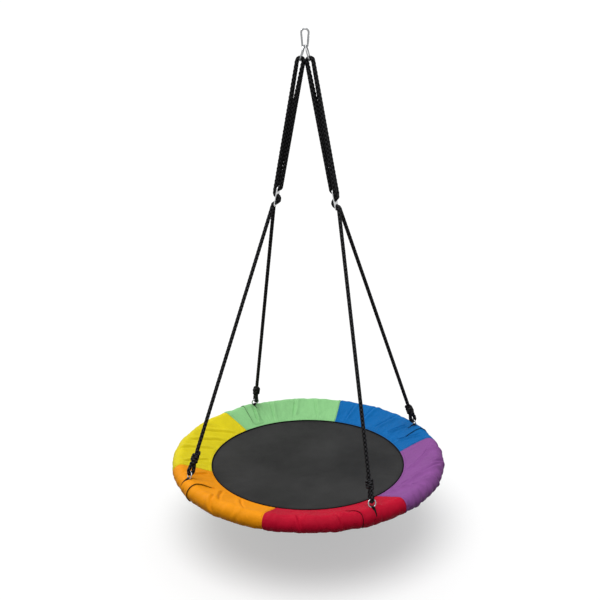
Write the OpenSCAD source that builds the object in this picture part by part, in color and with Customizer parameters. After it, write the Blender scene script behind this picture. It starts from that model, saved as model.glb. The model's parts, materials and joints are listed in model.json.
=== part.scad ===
// Round nest swing: padded steel ring with a fabric mat, hung on four ropes, two rope adjusters,
// two steel rings and one snap hook. The origin is where the snap hook's upper bend hangs.
// +Z is up, +X runs through the two rope adjusters, and the front is -Y.

/* [Seat] */
// Outer diameter of the padded ring with its cover
seat_d = 1000; // [950:1:1050]
// Height from the seat ring's middle plane up to the hanging point
seat_drop = 1545; // [1450:1:1700]
// Radius of the padded ring's section, cover included
cover_r = 29; // [28.8:0.1:32]
// Thickness of the cover fabric with its backing
cover_t = 1.5; // [1:0.1:1.6]
// Outer radius of the steel frame tube
tube_r = 16; // [13:0.5:17]
// Wall thickness of the steel frame tube
tube_wall = 1.5; // [1.2:0.1:3]
// Outer radius of the foam sleeve
foam_r = 25.4; // [22:0.1:25.5]

/* [Mat] */
// Radius of the round mat
mat_r = 356; // [340:1:370]
// Thickness of the mat
mat_t = 6; // [4:0.5:8]
// Height of the mat's edge against the ring's middle plane
mat_edge_z = -14.5; // [-18:0.5:-10]
// How far the middle of the mat hangs below its edge
mat_sag = 14; // [0:1:40]

/* [Ropes] */
// Diameter of the rope
rope_d = 11; // [9:0.5:11]
// Number of flat sides on a rope's tube
rope_sides = 10; // [8:2:12]

/* [Rope adjusters] */
// Distance of an adjuster's middle from the swing's axis
plate_x = 104; // [90:1:120]
// Depth of an adjuster's middle below the hanging point
plate_drop = 557; // [500:1:650]
// Lean of an adjuster towards the swing's axis
plate_tilt = 11.3; // [8:0.1:14]
// Width of an adjuster
plate_w = 38; // [36:1:44]
// Length of an adjuster
plate_len = 73; // [70:1:80]
// Thickness of an adjuster
plate_t = 3; // [2:0.1:3]
// Distance between the holes of an adjuster
hole_pitch = 24; // [24:0.5:26]
// Height of a hole in an adjuster
hole_h = 15; // [15:0.5:16]
// Width of a hole in an adjuster
hole_w = 26; // [25:0.5:28]

/* [Snap hook and top rings] */
// Height of the snap hook
hook_h = 66; // [64:1:72]
// Width of the snap hook at its wide upper end
hook_w = 31; // [30:0.5:34]
// Wire diameter of the snap hook
hook_wire = 6.5; // [5.5:0.5:6.5]
// Inner radius of the snap hook's lower bend
hook_low_r = 5.75; // [5.75:0.05:6.5]
// Turn of the snap hook and its rings about the swing's axis
top_turn = 12; // [0:1:15]
// Wire diameter of the top rings
top_wire = 4.5; // [4:0.1:4.5]
// Middle radius of the top rings
top_ring_r = 25.5; // [24:0.5:28]
// Distance of a top ring's lowest point from the swing's axis
top_ring_x = 16; // [16:0.1:17.5]

/* [Rim rings and knots] */
// Middle radius of a rim ring
rim_ring_r = 13.75; // [13.5:0.25:15]
// Wire diameter of a rim ring
rim_wire = 4.5; // [4:0.1:4.5]
// Lean of a rim ring towards the middle of the seat
rim_tilt = 20; // [15:1:25]
// Width of a ring strap
strap_w = 10; // [8:1:10]
// Length of an end knot
knot_len = 40; // [34:1:40]
// Outer radius of an end knot
knot_r = 13.2; // [12.5:0.1:14]
// Distance from a rim ring's top to its end knot
eye_len = 30; // [30:1:40]

/* [Hidden] */

$fn = 64;
cut = 1; // how far a cutting solid runs past what it cuts
gap = 0.3; // clearance between neighbouring pieces
steel = "silver";
rope_colour = [0.05, 0.05, 0.055];

// Attachment angles round the seat
front_left = 225;
back_left = 135;
front_right = 315;
back_right = 45;

rope_r = rope_d / 2;
ring_r = seat_d / 2 - cover_r; // middle radius of the seat ring
pair_y = rope_r + 0.25; // half the distance between two ropes side by side

// ---------- vectors ----------
function unit(v) = v / norm(v);
function turn_z(p, a) = [p[0] * cos(a) - p[1] * sin(a), p[0] * sin(a) + p[1] * cos(a), p[2]];
function tangent(p, i) = unit(p[min(i + 1, len(p) - 1)] - p[max(i - 1, 0)]);
function square_to(v, t) = unit(v - (v * t) * t);

// Normals that follow a route without twisting
function normals(p, seed) = [for (i = 0, n = square_to(seed, tangent(p, 0)); i < len(p);
    i = i + 1, n = i < len(p) ? square_to(n, tangent(p, i)) : n) n];

// A rope's tube along the points p; seed is any direction that is square to most of the route
module rope_tube(p, seed) {
    n = normals(p, seed);
    s = rope_sides;
    rings = [for (i = [0:len(p) - 1], k = [0:s - 1])
        p[i] + rope_r * (cos(360 * k / s) * n[i] + sin(360 * k / s) * cross(tangent(p, i), n[i]))];
    last = (len(p) - 1) * s;
    sides = [for (i = [0:len(p) - 2], k = [0:s - 1], half = [0, 1])
        let (a = i * s + k, b = i * s + (k + 1) % s)
        half == 0 ? [a, b + s, b] : [a, a + s, b + s]];
    ends = [[for (k = [0:s - 1]) k], [for (k = [s - 1:-1:0]) last + k]];
    color(rope_colour) polyhedron(points = rings, faces = concat(sides, ends));
}

// ---------- snap hook, drawn in its own plane (X across, Z up) ----------
hook_r = hook_wire / 2;
straight_r = hook_r - 0.02; // the straight stretches run a little way into the bends
hook_top_r = (hook_w - hook_wire) / 2; // upper bend, middle of the wire
hook_bend_r = hook_low_r + hook_r; // lower bend, middle of the wire
hook_top_z = hook_r - hook_top_r; // centre of the upper bend
hook_bend_z = hook_wire - hook_h + hook_r + hook_bend_r; // centre of the lower bend
hook_lean = asin((hook_top_r - hook_bend_r) / (hook_top_z - hook_bend_z)); // lean of a straight side
side_low = [hook_bend_r * cos(hook_lean), 0, hook_bend_z - hook_bend_r * sin(hook_lean)];
side_len = (hook_top_z - hook_bend_z) * cos(hook_lean);
pivot_s = 5.5; // gate pivot, measured up the gate's side
nose_s = 31.2; // nose pin, measured up the gate's side
gate_top_s = 35.2; // the gate's upper end
gate_r = 3.6;
tang_r = 3;
tang_t = 2.6;
fork_slot = 3.2;
pin_r = 1.05;
bore_r = 1.9; // spring bore in the gate

module on_hook() {
    rotate([0, 0, top_turn]) children();
}

// Along the gate's side: Z runs up the side from the lower bend
module on_gate_side() {
    on_hook() translate(side_low) rotate([0, hook_lean, 0]) children();
}

module cross_rod(r, length) {
    rotate([90, 0, 0]) cylinder(r = r, h = length, center = true);
}

module slab(x0, x1, thick, z0, z1) {
    translate([x0, -thick / 2, z0]) cube([x1 - x0, thick, z1 - z0]);
}

module bend(radius, start, sweep) {
    rotate([90, 0, 0]) rotate([0, 0, start]) rotate_extrude(angle = sweep)
        translate([radius, 0]) circle(hook_r);
}

module hook_body() {
    color(steel) difference() {
        union() {
            on_hook() {
                translate([0, 0, hook_top_z]) bend(hook_top_r, -hook_lean, 180 + 2 * hook_lean);
                translate([0, 0, hook_bend_z]) bend(hook_bend_r, 180 + hook_lean, 180 - 2 * hook_lean);
                mirror([1, 0, 0]) translate(side_low) rotate([0, hook_lean, 0])
                    translate([0, 0, -0.5]) cylinder(r = straight_r, h = side_len + 1);
            }
            on_gate_side() {
                slab(0.4 - tang_r, tang_r - 0.4, tang_t, -1.5, pivot_s);
                translate([0, 0, pivot_s]) cross_rod(tang_r, tang_t);
                translate([0, 0, gate_top_s + 0.5])
                    cylinder(r = straight_r, h = side_len - gate_top_s);
                slab(-2.1, 2.1, 2.4, nose_s - 1.9, gate_top_s + 1);
            }
        }
        on_gate_side() {
            translate([0, 0, pivot_s]) cross_rod(pin_r, 2 * gate_r + cut);
            translate([0, 0, nose_s]) cross_rod(pin_r, 2 * gate_r + cut);
        }
    }
}

module hook_gate() {
    color(steel) on_gate_side() difference() {
        union() {
            translate([0, 0, pivot_s]) cylinder(r = gate_r, h = gate_top_s - pivot_s);
            intersection() {
                translate([0, 0, pivot_s - gate_r]) cylinder(r = gate_r, h = gate_r + 0.01);
                translate([0, 0, pivot_s]) cross_rod(gate_r, 3 * gate_r);
            }
        }
        slab(-gate_r - cut, gate_r + cut, fork_slot, pivot_s - gate_r - cut, pivot_s + 4.2);
        translate([0, 0, pivot_s]) cross_rod(pin_r + 0.03, 3 * gate_r);
        translate([0, 0, pivot_s + 3]) cylinder(r = bore_r, h = 16);
        slab(-gate_r - cut, gate_r + cut, 3, nose_s - 2.6, gate_top_s + cut);
        slab(-1.5, gate_r + cut, 3 * gate_r, nose_s - 2, nose_s + 1.5);
    }
}

module gate_pivot_pin() {
    color(steel) on_gate_side() translate([0, 0, pivot_s]) cross_rod(pin_r, 2 * gate_r - 0.2);
}

module nose_pin() {
    color(steel) on_gate_side() translate([0, 0, nose_s]) cross_rod(pin_r, 2 * gate_r - 0.6);
}

module gate_spring() {
    turns = 6;
    steps = 8;
    coil_r = 1.35;
    wire = 0.25;
    low = pivot_s + 6.6;
    pitch = 1.9;
    path = [for (i = [0:turns * steps])
        [coil_r * cos(360 * i / steps), coil_r * sin(360 * i / steps), low + pitch * i / steps]];
    s = 4;
    rings = [for (i = [0:len(path) - 1], k = [0:s - 1])
        let (t = tangent(path, i), n = square_to([path[i][0], path[i][1], 0], t))
        path[i] + wire * (cos(90 * k) * n + sin(90 * k) * cross(t, n))];
    last = (len(path) - 1) * s;
    sides = [for (i = [0:len(path) - 2], k = [0:s - 1], half = [0, 1])
        let (a = i * s + k, b = i * s + (k + 1) % s)
        half == 0 ? [a, b + s, b] : [a, a + s, b + s]];
    color(steel) on_gate_side()
        polyhedron(points = rings, faces = concat(sides, [[0, 1, 2, 3], [last + 3, last + 2, last + 1, last]]));
}

module gate_plunger() {
    color(steel) on_gate_side() translate([0, 0, pivot_s + tang_r + 0.2]) cylinder(r = bore_r - 0.1, h = 3);
}

// ---------- top rings ----------
top_ring_top_x = top_wire / 2 + 0.25;
top_ring_seat_r = hook_low_r - top_wire / 2 - 0.35; // from the lower bend's centre to the ring's wire
top_ring_top_z = hook_bend_z - sqrt(pow(top_ring_seat_r, 2) - pow(top_ring_top_x, 2));
top_ring_lean = asin((top_ring_x - top_ring_top_x) / (2 * top_ring_r));
top_ring_low_z = top_ring_top_z - 2 * top_ring_r * cos(top_ring_lean);

module top_ring(side) {
    color(steel) on_hook() translate([side * top_ring_top_x, 0, top_ring_top_z])
        rotate([0, -side * top_ring_lean, 0]) translate([0, 0, -top_ring_r])
            rotate([0, 90, 0]) rotate_extrude() translate([top_ring_r, 0]) circle(top_wire / 2);
}

module top_ring_left() {
    top_ring(-1);
}

module top_ring_right() {
    top_ring(1);
}

// ---------- rope adjusters, right-hand one; the left-hand one is turned by 180 degrees ----------
// Plate coordinates: o is out from the plate's face, y along the width, s up the plate
function on_plate(o, y, s) = [plate_x + o * cos(plate_tilt) - s * sin(plate_tilt), y,
    -plate_drop + o * sin(plate_tilt) + s * cos(plate_tilt)];

module slot_2d(w, h) {
    end_r = h / 2;
    for (side = [-1, 1]) translate([side * (w / 2 - end_r), 0]) circle(end_r);
    square([w - h, h], center = true);
}

module plate_2d() {
    corner = 12;
    for (x = [-1, 1], y = [-1, 1])
        translate([x * (plate_w / 2 - corner), y * (plate_len / 2 - corner)]) circle(corner);
    square([plate_w - 2 * corner, plate_len], center = true);
    square([plate_w, plate_len - 2 * corner], center = true);
}

module adjuster_right() {
    color(steel) translate([plate_x, 0, -plate_drop]) rotate([0, -plate_tilt, 0]) rotate([90, 0, 90])
        linear_extrude(plate_t, center = true) difference() {
            plate_2d();
            for (k = [-1:1]) translate([0, k * hole_pitch]) slot_2d(hole_w, hole_h);
        }
}

module adjuster_left() {
    rotate([0, 0, 180]) adjuster_right();
}

// ---------- upper ropes: two strands over the ring, and one turn through the top hole ----------
bight_r = 10.2; // half the distance between a rope's two legs over its ring
bight_z = top_ring_low_z - 0.4;
plate_o = plate_t / 2 + rope_r + 1; // from the plate's middle to a rope lying on its face
split_y = 12.4; // outer strands at the adjuster's top hole
turn_y = -1.2; // the turn through the top hole

function over_ring(y, from, to) = [for (k = [0:6]) let (a = from + (to - from) * k / 6)
    turn_z([top_ring_x + bight_r * cos(a), y, bight_z + bight_r * sin(a)], top_turn)];

function upper_route() = concat(
    [on_plate(plate_o, -split_y, 26.5), on_plate(plate_o, -split_y, 44)],
    over_ring(-pair_y, 0, 180),
    [on_plate(-plate_o, turn_y, 42), on_plate(-plate_o, turn_y, 31.2), on_plate(-5.2, turn_y, 26.4),
     on_plate(0, turn_y, 24.6), on_plate(5.2, turn_y, 26.4), on_plate(plate_o, turn_y, 31.2),
     on_plate(plate_o, turn_y, 42)],
    over_ring(pair_y, 180, 0),
    [on_plate(plate_o, split_y, 44), on_plate(plate_o, split_y, 26.5)]);

module upper_rope_right() {
    rope_tube(upper_route(), [0, 1, 0]);
}

module upper_rope_left() {
    rotate([0, 0, 180]) upper_rope_right();
}

// ---------- rim rings, straps, rope eyes and knots ----------
// Local frame at an attachment: X points out from the seat's middle, Y along the rim, Z up
strap_in = foam_r + gap;
strap_out = strap_in + 1.4;
loop_in = 3.6;
loop_out = 5;
loop_z = strap_out - 0.7 + loop_out;
rim_low_z = loop_z + 0.2; // lowest point of the ring, middle of its wire
rim_top = [-2 * rim_ring_r * sin(rim_tilt), 0, rim_low_z + 2 * rim_ring_r * cos(rim_tilt)];

module at_rim(a) {
    rotate([0, 0, a]) translate([ring_r, 0, -seat_drop]) children();
}

function at_rim_point(a, p) = turn_z(p + [ring_r, 0, -seat_drop], a);

module rim_ring(a) {
    color(steel) at_rim(a) translate([0, 0, rim_low_z]) rotate([0, -rim_tilt, 0])
        translate([0, 0, rim_ring_r]) rotate([0, 90, 0]) rotate_extrude()
            translate([rim_ring_r, 0]) circle(rim_wire / 2);
}

module ring_strap(a) {
    color("dimgray") at_rim(a) {
        difference() {
            cross_rod(strap_out, strap_w);
            cross_rod(strap_in, strap_w + cut);
        }
        translate([0, 0, loop_z]) difference() {
            cross_rod(loop_out, strap_w);
            cross_rod(loop_in, strap_w + cut);
        }
    }
}

// The weave through the bottom and middle holes, from below, for the strand on the front
weave = [[8.3, -9, -40], [8, -6.7, -32], [5.8, -5.8, -27], [0, -5.8, -24], [-5.8, -5.8, -21],
    [-8, -5.8, -16], [-8, -5.8, -8], [-5.8, -5.8, -3], [0, -5.8, 0], [5.8, -6, 3], [8, -7.2, 8],
    [8, -10.4, 16], [8, -12.4, 21.5]];

// The lower rope leaves its knot along a straight line; f is -1 for the front strand, 1 for the back
function weave_point(w, f) = on_plate(w[0], -f * w[1], w[2]);
function eye_top(f) = at_rim_point(f * 45, rim_top);
function rope_dir(f) = unit(weave_point(weave[0], f) - eye_top(f));
function rope_at(f, along) = eye_top(f) + along * rope_dir(f);

module lower_rope(f) {
    rope_tube(concat([rope_at(f, eye_len + knot_len + 0.3), rope_at(f, eye_len + knot_len + 40)],
        [for (w = weave) weave_point(w, f)]), [0, 1, 0]);
}

eye_r = 8.8; // the rope's turn under the rim ring's top

module rope_eye(f) {
    d = rope_dir(f);
    side = square_to(turn_z([cos(rim_tilt), 0, sin(rim_tilt)], f * 45), d);
    legs = [[rope_r + 0.3, eye_len - 0.3], [7.2, 22], [9, 9]];
    turn = [for (k = [0:6]) [eye_r * cos(30 * k), -eye_r * sin(30 * k)]];
    outline = concat(legs, turn, [for (k = [2:-1:0]) [-legs[k][0], legs[k][1]]]);
    rope_tube([for (q = outline) eye_top(f) + q[0] * side + q[1] * d], cross(side, d));
}

lobes = 4;
lobe_r = 4.9;

module end_knot(f) {
    d = rope_dir(f);
    pitch = (knot_len - 2 * lobe_r) / (lobes - 1);
    color(rope_colour) translate(rope_at(f, eye_len)) rotate([0, acos(d[2]), atan2(d[1], d[0])]) {
        translate([0, 0, lobe_r / 2]) cylinder(r = knot_r - lobe_r, h = knot_len - lobe_r);
        for (k = [0:lobes - 1]) translate([0, 0, lobe_r + k * pitch]) rotate_extrude()
            translate([knot_r - lobe_r, 0]) circle(lobe_r);
    }
}

module turned() {
    rotate([0, 0, 180]) children();
}

module lower_rope_front_right() { lower_rope(-1); }
module lower_rope_back_right() { lower_rope(1); }
module lower_rope_front_left() { turned() lower_rope(1); }
module lower_rope_back_left() { turned() lower_rope(-1); }
module end_knot_front_right() { end_knot(-1); }
module end_knot_back_right() { end_knot(1); }
module end_knot_front_left() { turned() end_knot(1); }
module end_knot_back_left() { turned() end_knot(-1); }
module rope_eye_front_right() { rope_eye(-1); }
module rope_eye_back_right() { rope_eye(1); }
module rope_eye_front_left() { turned() rope_eye(1); }
module rope_eye_back_left() { turned() rope_eye(-1); }
module rim_ring_front_right() { rim_ring(front_right); }
module rim_ring_back_right() { rim_ring(back_right); }
module rim_ring_front_left() { rim_ring(front_left); }
module rim_ring_back_left() { rim_ring(back_left); }
module ring_strap_front_right() { ring_strap(front_right); }
module ring_strap_back_right() { ring_strap(back_right); }
module ring_strap_front_left() { ring_strap(front_left); }
module ring_strap_back_left() { ring_strap(back_left); }

// ---------- seat frame: four quarter tubes, joined at the axes ----------
coupler_r = tube_r - tube_wall - 0.1;
coupler_sweep = 8; // degrees of arc inside the tubes at each joint
screw_offset = 2.4; // degrees from a joint to a screw

// A quarter of the ring's section, with a small gap at each end
module quarter_arc(middle, outer, inner) {
    end_gap = 0.02;
    translate([0, 0, -seat_drop]) rotate([0, 0, middle - 45 + end_gap])
        rotate_extrude(angle = 90 - 2 * end_gap, $fn = 128) translate([ring_r, 0]) difference() {
            circle(outer);
            circle(inner);
        }
}

// A place on the inner side of the tube, with Z pointing towards the seat's middle
module at_screw(a) {
    rotate([0, 0, a]) translate([ring_r, 0, -seat_drop]) rotate([0, -90, 0]) children();
}

module screw_shape(extra) {
    translate([0, 0, coupler_r - 3.2]) cylinder(r = 2.4 + extra, h = tube_r - coupler_r + 2.6);
    translate([0, 0, tube_r - 1.2]) cylinder(r = 4 + extra, h = 0.9 + extra);
}

module frame_tube(middle) {
    color(steel) difference() {
        quarter_arc(middle, tube_r, tube_r - tube_wall);
        for (end = [-1, 1]) at_screw(middle + end * (45 - screw_offset)) {
            cylinder(r = 2.5, h = tube_r + cut);
            translate([0, 0, tube_r - 1.25]) cylinder(r = 4.1, h = 2);
        }
    }
}

module tube_couplers() {
    color(steel) for (a = [0:90:270]) difference() {
        translate([0, 0, -seat_drop]) rotate([0, 0, a - coupler_sweep / 2])
            rotate_extrude(angle = coupler_sweep, $fn = 128) translate([ring_r, 0]) difference() {
                circle(coupler_r);
                circle(coupler_r - 2);
            }
        for (end = [-1, 1]) at_screw(a + end * screw_offset) cylinder(r = 2.5, h = tube_r);
    }
}

module coupler_screws() {
    color(steel) for (a = [0:90:270], end = [-1, 1]) at_screw(a + end * screw_offset) screw_shape(0);
}

module foam_sleeve(middle) {
    color("gray") quarter_arc(middle, foam_r, tube_r + gap);
}

module frame_tube_front_left() { frame_tube(front_left); }
module frame_tube_back_left() { frame_tube(back_left); }
module frame_tube_front_right() { frame_tube(front_right); }
module frame_tube_back_right() { frame_tube(back_right); }
module foam_sleeve_front_left() { foam_sleeve(front_left); }
module foam_sleeve_back_left() { foam_sleeve(back_left); }
module foam_sleeve_front_right() { foam_sleeve(front_right); }
module foam_sleeve_back_right() { foam_sleeve(back_right); }

// ---------- mat ----------
function mat_z(r) = mat_edge_z - mat_sag * (1 - pow(r / mat_r, 2));

module seat_mat() {
    steps = 12;
    edge = mat_r - gap;
    top = [for (k = [0:steps]) [edge * k / steps, mat_z(edge * k / steps)]];
    bottom = [for (k = [steps:-1:0]) [edge * k / steps, mat_z(edge * k / steps) - mat_t]];
    color([0.2, 0.2, 0.2]) translate([0, 0, -seat_drop]) rotate_extrude($fn = 128)
        polygon(concat(top, bottom));
}

// ---------- cover: six panels, each a closed sleeve round the ring and out to the mat ----------
tip_high = [mat_r, mat_edge_z];
tip_low = [mat_r, mat_edge_z - mat_t];

// Direction of the fabric from a corner at the mat to the round part; up is 1 above, -1 below
function web_angle(tip, up) = atan2(-tip[1], ring_r - tip[0])
    + up * asin(cover_r / norm([ring_r, 0] - tip));

// The same corner moved in by t across the fabric and by along down its length
function web_corner(tip, up, t, along) = let (a = web_angle(tip, up))
    tip + along * [cos(a), sin(a)] + up * t * [sin(a), -cos(a)];

// Its end sits just inside the round part, so that the two cross cleanly
function web_end(tip, up, t) = let (a = web_angle(tip, up), reach = sqrt(
    pow(norm([ring_r, 0] - tip), 2) - pow(cover_r, 2)))
    tip + (reach + 0.5) * [cos(a), sin(a)] + up * (t + 0.02) * [sin(a), -cos(a)];

// The sleeve's outline moved in by t, turned round the seat from one angle to another
module sleeve(t, along, from, to) {
    translate([0, 0, -seat_drop]) rotate([0, 0, from]) {
        rotate_extrude(angle = to - from, $fn = 360) translate([ring_r, 0]) circle(cover_r - t, $fn = 96);
        rotate_extrude(angle = to - from, $fn = 360)
            polygon([web_corner(tip_high, 1, t, along), web_end(tip_high, 1, t), [ring_r, 0],
                web_end(tip_low, -1, t), web_corner(tip_low, -1, t, along)]);
    }
}

slit_in = 32; // the strap slit's reach towards the mat
slit_out = 24; // and towards the outside
slit_w = strap_w + 1.6;

module cover_panel(middle) {
    end_gap = 0.03;
    difference() {
        sleeve(0, 0, middle - 30 + end_gap, middle + 30 - end_gap);
        sleeve(cover_t, 4, middle - 31, middle + 31);
        for (a = [front_left, back_left, front_right, back_right]) at_rim(a)
            translate([-slit_in, -slit_w / 2, 10]) cube([slit_in + slit_out, slit_w, 30]);
    }
}

module cover_purple() { color([0.6, 0.31, 0.63]) cover_panel(0); }
module cover_blue() { color([0.04, 0.39, 0.73]) cover_panel(60); }
module cover_green() { color([0.55, 0.82, 0.54]) cover_panel(120); }
module cover_yellow() { color([0.87, 0.82, 0.16]) cover_panel(180); }
module cover_orange() { color([0.96, 0.57, 0.12]) cover_panel(240); }
module cover_red() { color([0.75, 0.06, 0.16]) cover_panel(300); }

// A flap of cover fabric beside a strap slit, lying on the panel from its inner slope round to below
flap_t = 0.8;
flap_near = 7; // edge beside the slit, along the rim
flap_reach = 96; // longest reach along the rim
flap_out = 40; // past the outside of the rim
flap_low = 24; // how far it reaches below the ring's middle plane
flap_lift = 0.2; // clearance over the panel

function rim_degrees(length) = length / ring_r * 180 / PI;

// Its hemmed edge runs edge_at from the slit, and slants away by slant on the mat's side of knee;
// the flap ends at inner from the crest
module cover_flap(a, toward, edge_at, knee, slant, inner) {
    near = rim_degrees(flap_near);
    sweep = rim_degrees(flap_reach - flap_near);
    start = toward > 0 ? a + near : a - near - sweep;
    end = inner + 5;
    intersection() {
        difference() {
            sleeve(-flap_t - flap_lift, 0, start, start + sweep);
            sleeve(-flap_lift, -10, start - 1, start + sweep + 1);
        }
        translate([0, 0, -seat_drop]) rotate([0, 0, start - 1])
            rotate_extrude(angle = sweep + 2, $fn = 360)
                polygon([[ring_r - inner, -15], [ring_r - inner, 60], [ring_r + flap_out, 60],
                    [ring_r + flap_out, -flap_low], [ring_r + 5, -flap_low], [ring_r + 5, -15]]);
        at_rim(a) linear_extrude(4 * cover_r, center = true)
            polygon([for (q = [[-end, 0], [flap_out, 0], [flap_out, edge_at], [knee, edge_at],
                [-end, edge_at + slant * (knee + end)]]) [q[0], toward * q[1]]]);
    }
}

module cover_flap_front_left() { color([0.96, 0.57, 0.12]) cover_flap(front_left, 1, 50, -30, 0.8, 68); }
module cover_flap_front_right() { color([0.75, 0.06, 0.16]) cover_flap(front_right, -1, 45, 10, 0.95, 42); }
module cover_flap_back_left() { color([0.55, 0.82, 0.54]) cover_flap(back_left, 1, 43, -10, 0.2, 100); }
module cover_flap_back_right() { color([0.04, 0.39, 0.73]) cover_flap(back_right, -1, 41, -44, 0.15, 84); }

hook_body();
hook_gate();
gate_pivot_pin();
nose_pin();
gate_spring();
gate_plunger();
top_ring_left();
top_ring_right();
upper_rope_left();
upper_rope_right();
adjuster_left();
adjuster_right();
lower_rope_front_left();
lower_rope_back_left();
lower_rope_front_right();
lower_rope_back_right();
end_knot_front_left();
end_knot_back_left();
end_knot_front_right();
end_knot_back_right();
rope_eye_front_left();
rope_eye_back_left();
rope_eye_front_right();
rope_eye_back_right();
rim_ring_front_left();
rim_ring_back_left();
rim_ring_front_right();
rim_ring_back_right();
ring_strap_front_left();
ring_strap_back_left();
ring_strap_front_right();
ring_strap_back_right();
frame_tube_front_left();
frame_tube_back_left();
frame_tube_front_right();
frame_tube_back_right();
tube_couplers();
coupler_screws();
foam_sleeve_front_left();
foam_sleeve_back_left();
foam_sleeve_front_right();
foam_sleeve_back_right();
seat_mat();
cover_purple();
cover_blue();
cover_green();
cover_yellow();
cover_orange();
cover_red();
cover_flap_front_left();
cover_flap_back_left();
cover_flap_front_right();
cover_flap_back_right();
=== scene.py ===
import json
import math

import bmesh
import bpy
import numpy as np
from mathutils import Euler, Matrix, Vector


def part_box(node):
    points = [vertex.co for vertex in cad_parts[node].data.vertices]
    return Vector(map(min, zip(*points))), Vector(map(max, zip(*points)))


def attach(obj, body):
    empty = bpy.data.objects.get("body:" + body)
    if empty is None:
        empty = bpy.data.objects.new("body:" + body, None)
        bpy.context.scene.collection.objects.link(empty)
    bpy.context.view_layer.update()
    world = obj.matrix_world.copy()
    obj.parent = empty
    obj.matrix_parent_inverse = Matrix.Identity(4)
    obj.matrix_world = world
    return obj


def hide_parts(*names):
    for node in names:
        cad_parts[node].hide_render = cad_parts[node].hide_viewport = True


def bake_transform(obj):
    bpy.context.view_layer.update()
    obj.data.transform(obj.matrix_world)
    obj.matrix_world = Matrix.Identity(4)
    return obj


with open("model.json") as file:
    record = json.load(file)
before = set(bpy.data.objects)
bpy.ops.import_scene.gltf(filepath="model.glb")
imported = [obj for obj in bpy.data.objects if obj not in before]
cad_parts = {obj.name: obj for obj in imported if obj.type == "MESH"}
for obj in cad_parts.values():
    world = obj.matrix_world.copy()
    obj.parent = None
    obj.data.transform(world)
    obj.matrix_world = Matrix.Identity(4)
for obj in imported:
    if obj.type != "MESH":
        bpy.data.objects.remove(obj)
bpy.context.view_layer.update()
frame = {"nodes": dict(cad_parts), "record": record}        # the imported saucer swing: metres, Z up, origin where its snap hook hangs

MM = 0.001
# Places round the swing, in degrees from its right-hand side
CORNERS = {"front_left": 225, "back_left": 135, "front_right": 315, "back_right": 45}
SIDES = {"right": 0, "left": 180}
PANELS = {"purple": 0, "blue": 60, "green": 120, "yellow": 180, "orange": 240, "red": 300}


# ---------- sizes and places, in metres, from the frame and from the CAD part's own dimensions ----------
COVER_R = 29 * MM
RING_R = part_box("cover_purple")[1].x - COVER_R
TUBE_LOW, TUBE_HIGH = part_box("frame_tube_front_left")
SEAT_Z = ((TUBE_LOW + TUBE_HIGH) / 2).z
MAT_R = 356 * MM
MAT_EDGE_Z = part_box("seat_mat")[1].z - SEAT_Z
MAT_T = 6 * MM
MAT_SAG = 14 * MM
FOAM_IN = 16.3 * MM
FOAM_OUT = 25.4 * MM
CLOTH_T = 1.2 * MM
ROPE_R = 5.5 * MM
YARNS = 5               # side by side in each strand of a rope
TOP_RING_WIRE_R = 2.25 * MM


# ---------- small helpers ----------
def unit(v):
    v = np.asarray(v, float)
    return v / np.linalg.norm(v, axis=-1, keepdims=True)


def stacked(*parts):
    """Arrays, spread to one shape, as the last axis of one array."""
    return np.stack(np.broadcast_arrays(*parts), axis=-1)


def turn_z(points, degrees):
    """Points turned about the swing's axis."""
    x, y, z = np.moveaxis(np.asarray(points, float), -1, 0)
    a = np.radians(degrees)
    return stacked(x * np.cos(a) - y * np.sin(a), x * np.sin(a) + y * np.cos(a), z)


def circle(count):
    """Angles once round."""
    return np.arange(count) * 2 * np.pi / count


def corner_seed(corner):
    return list(CORNERS).index(corner) + 0.5


def ease(x):
    x = np.clip(x, 0, 1)
    return x * x * (3 - 2 * x)


def bump(x, width):
    return np.exp(-(x / width) ** 2)


def noise(x, y, seed):
    """Smooth noise from -1 to 1 on a unit lattice, the same on every run."""
    def corner(i, j):
        h = np.sin(i * 127.1 + j * 311.7 + seed * 74.7) * 43758.5453
        return 2 * (h - np.floor(h)) - 1
    x, y = np.broadcast_arrays(np.asarray(x, float), np.asarray(y, float))
    i, j = np.floor(x), np.floor(y)
    fx, fy = ease(x - i), ease(y - j)
    low = corner(i, j) * (1 - fx) + corner(i + 1, j) * fx
    high = corner(i, j + 1) * (1 - fx) + corner(i + 1, j + 1) * fx
    return low * (1 - fy) + high * fy


def steps(start, end, coarse, fine=None, places=(), reach=8 * MM):
    """Places from start to end, coarse apart, and fine near the given places."""
    found, x = [start], start
    while x < end - 1e-9:
        near = max([math.exp(-((x - p) / reach) ** 2) for p in places], default=0)
        x += coarse + ((fine or coarse) - coarse) * near
        found.append(x)
    found = np.array(found)
    return start + (found - start) * (end - start) / (found[-1] - start)


def turned_out(points, faces):
    """The faces of a closed shape, turned so that they look outward."""
    volume = 0.0
    for f in faces:
        for k in range(1, f.shape[1] - 1):
            a, b, c = points[f[:, 0]], points[f[:, k]], points[f[:, k + 1]]
            volume += float(np.sum(a * np.cross(b, c)))
    return faces if volume > 0 else [f[:, ::-1] for f in faces]


def linked(name, data):
    """A new object in the scene."""
    made = bpy.data.objects.new(name, data)
    bpy.context.scene.collection.objects.link(made)
    return made


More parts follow.
